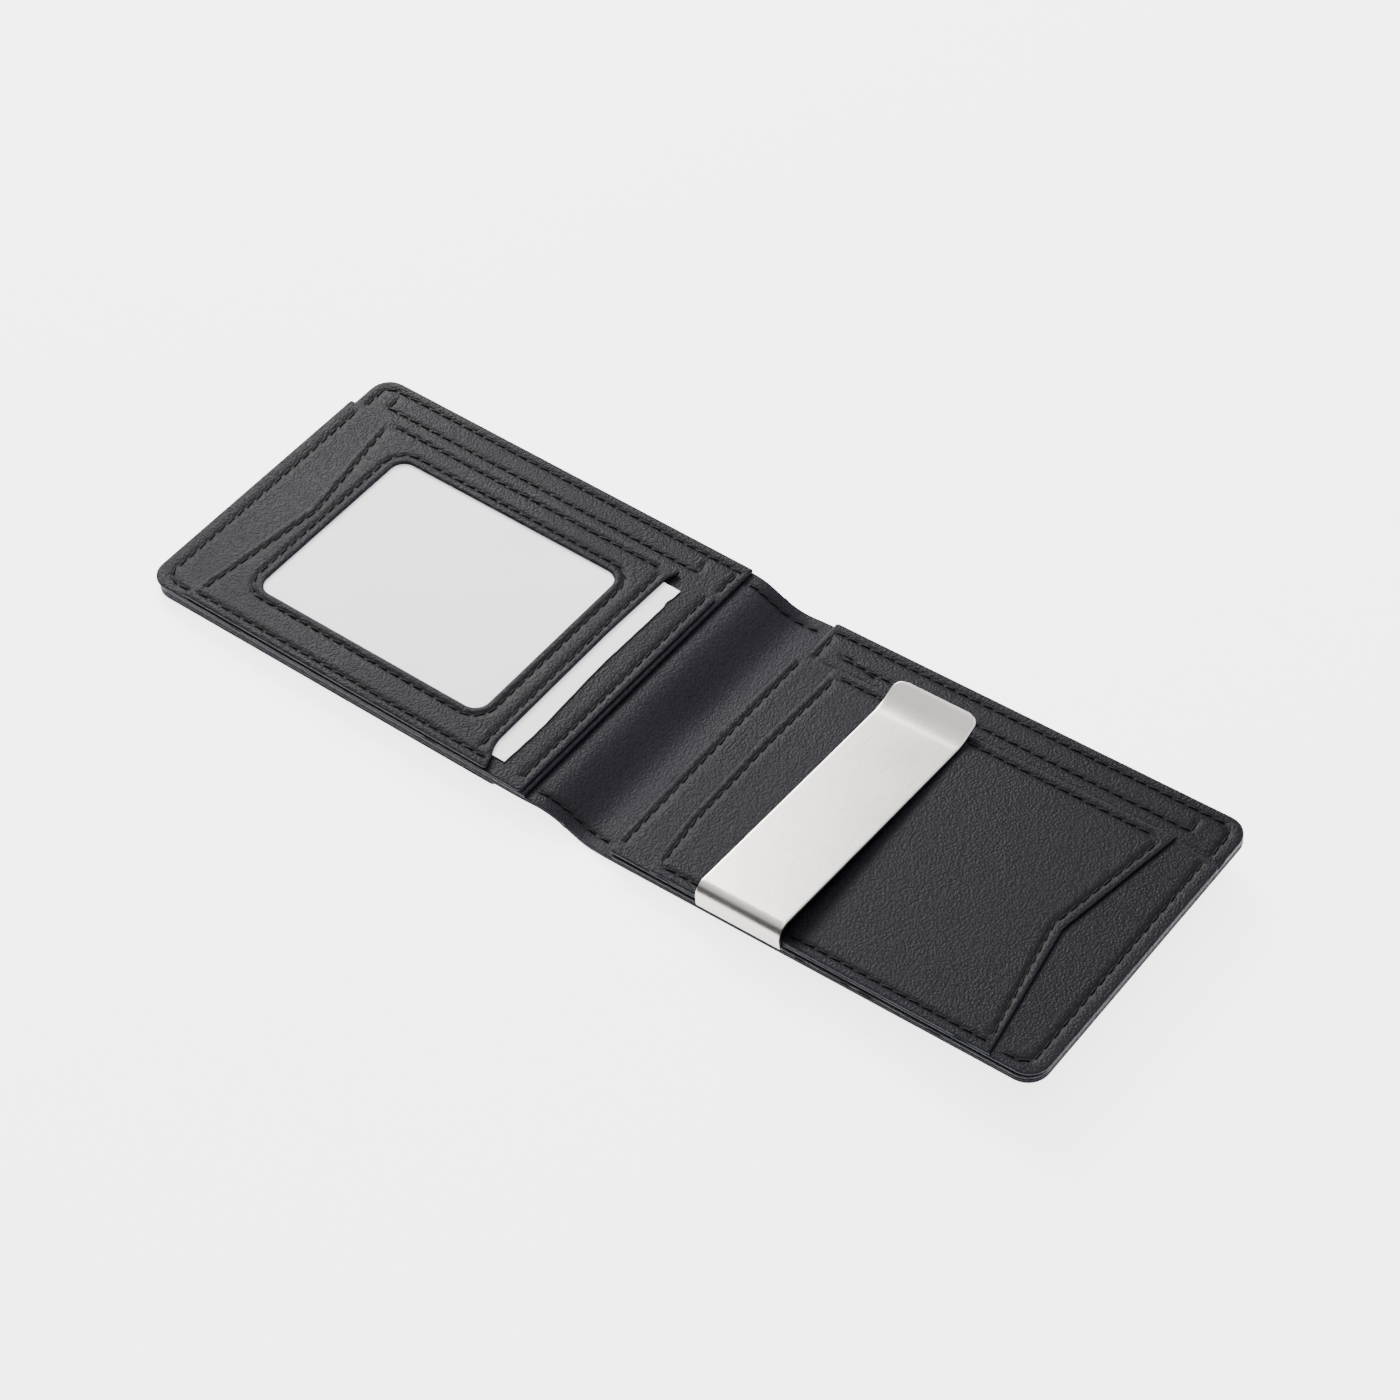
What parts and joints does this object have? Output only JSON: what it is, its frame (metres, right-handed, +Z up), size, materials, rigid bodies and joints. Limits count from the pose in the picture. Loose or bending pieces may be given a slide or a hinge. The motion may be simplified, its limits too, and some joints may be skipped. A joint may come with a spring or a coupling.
{
  "type": "bifold wallet",
  "caption": "Slim leather bifold wallet lying open, with a clear window pocket on one panel, a sprung steel money clip on the other, and a soft folding spine.",
  "frame": {"origin": "centre of the spine's flat underside, where it rests on the table", "axes": "+X from the window panel to the clip panel, +Y from the front edge (the clip's bend) to the back edge, +Z up"},
  "size_m": [0.232, 0.0812, 0.0118],
  "materials": {
    "leather": "fine grain, satin",
    "lining": "smooth, satin",
    "thread": "twisted sewing thread",
    "steel": "brushed along its length",
    "board": "plain",
    "film": "clear, smooth",
    "paper": "uncoated white"
  },
  "bodies": {
    "left_panel": {"quick_pocket": "leather", "outer_shell_left": "leather", "lining_left": "lining", "left_board": "board", "left_base_panel": "leather", "left_slot_panel": "leather", "window_film": "film", "window_frame_panel": "leather", "seam_left_back": "thread", "seam_left_end": "thread", "seam_left_front": "thread", "seam_left_strip": "thread", "seam_left_pocket_back": "thread", "seam_left_thumb_cut": "thread", "seam_window_frame_edge": "thread", "seam_left_slot_edge": "thread", "seam_left_base_edge": "thread", "seam_window": "thread"},
    "spine": {"outer_shell_spine": "leather", "lining_spine": "lining", "seam_spine_front": "thread", "seam_spine_back": "thread"},
    "right_panel": {"outer_shell_right": "leather", "lining_right": "lining", "right_base_panel": "leather", "right_board": "board", "right_slot_panel": "leather", "right_front_panel": "leather", "clip_base": "steel", "seam_right_back": "thread", "seam_right_end": "thread", "seam_right_front": "thread", "seam_right_strip": "thread", "seam_right_pocket_back": "thread", "seam_right_thumb_cut": "thread", "seam_right_front_edge": "thread", "seam_right_slot_edge": "thread", "seam_right_base_edge": "thread"},
    "clip_arm": {"clip_arm": "steel"},
    "paper_insert": {"paper_insert": "paper"}
  },
  "joints": [
    {"name": "left_fold", "type": "hinge", "parent": "left_panel", "child": "spine", "pos_m": [-0.0116, 0, 0.0052], "axis": [0, -1, 0], "range_deg": [0, 88.5]},
    {"name": "right_fold", "type": "hinge", "parent": "spine", "child": "right_panel", "pos_m": [0.0026, 0, 0.002], "axis": [0, -1, 0], "range_deg": [-4, 88.5]},
    {"name": "clip_flex", "type": "hinge", "parent": "right_panel", "child": "clip_arm", "pos_m": [0.04145, -0.03825, 0.01073], "axis": [0.9976, 0, 0.0698], "range_deg": [0, 5], "stiffness_Nm_per_rad": 1},
    {"name": "insert_slide", "type": "slide", "parent": "left_panel", "child": "paper_insert", "axis": [0.9997, 0, 0.0244], "range_m": [0, 0.011]}
  ]
}
